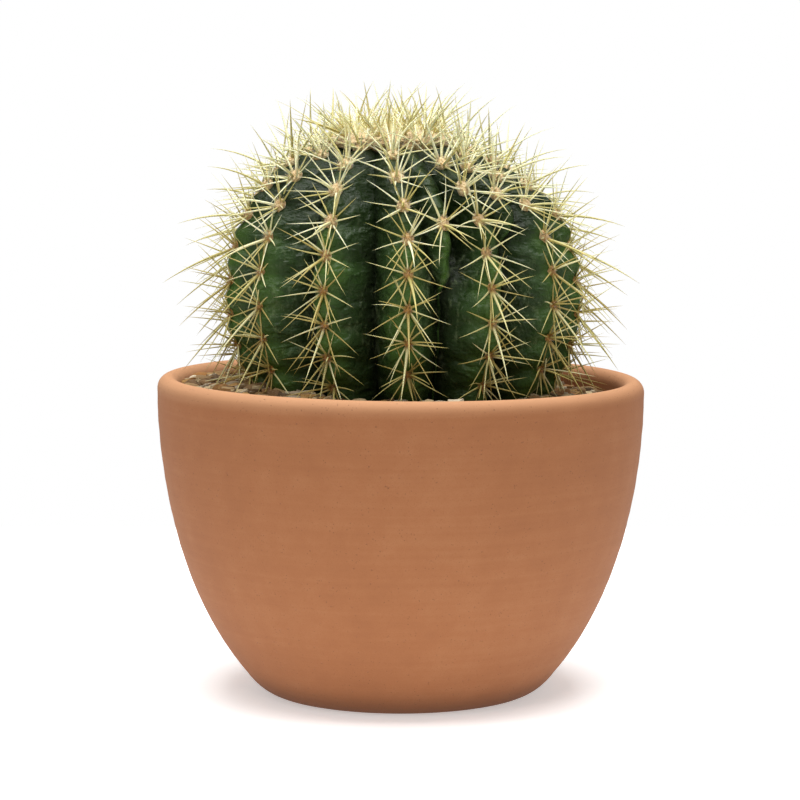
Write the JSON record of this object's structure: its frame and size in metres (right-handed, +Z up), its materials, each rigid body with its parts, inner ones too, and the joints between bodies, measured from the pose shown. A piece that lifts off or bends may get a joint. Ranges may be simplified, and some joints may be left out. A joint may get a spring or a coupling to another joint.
{
  "type": "potted round cactus",
  "caption": "Round ribbed cactus with golden spines, growing in gravel-topped soil in a terracotta bowl pot with a rounded lip.",
  "frame": {"origin": "centre of the pot's foot, on the surface it stands on", "axes": "+Z up; +X to the right and +Y to the back as seen from the front, so the front faces -Y"},
  "size_m": [0.25, 0.25, 0.3107],
  "materials": {
    "terracotta": "matte",
    "potting_soil": "matte",
    "gravel": "matte",
    "cactus_skin": "satin",
    "spines": "satin",
    "areole_wool": "matte"
  },
  "bodies": {
    "root": {"pot": "terracotta", "potting_soil": "potting_soil", "gravel_layer": "gravel", "cactus_stem": "cactus_skin", "crown_wool": "areole_wool", "pebble_01": "gravel", "pebble_02": "gravel", "pebble_03": "gravel", "pebble_04": "gravel", "pebble_05": "gravel", "pebble_06": "gravel", "pebble_07": "gravel", "pebble_08": "gravel", "pebble_09": "gravel", "pebble_10": "gravel", "pebble_11": "gravel", "pebble_12": "gravel", "pebble_13": "gravel", "pebble_14": "gravel", "pebble_15": "gravel", "pebble_16": "gravel", "pebble_17": "gravel", "pebble_18": "gravel", "spines_rib_01": "spines", "spines_rib_02": "spines", "spines_rib_03": "spines", "spines_rib_04": "spines", "spines_rib_05": "spines", "spines_rib_06": "spines", "spines_rib_07": "spines", "spines_rib_08": "spines", "spines_rib_09": "spines", "spines_rib_10": "spines", "spines_rib_11": "spines", "spines_rib_12": "spines", "spines_rib_13": "spines", "spines_rib_14": "spines", "spines_short_rib_front": "spines", "spines_short_rib_right": "spines"}
  },
  "joints": []
}
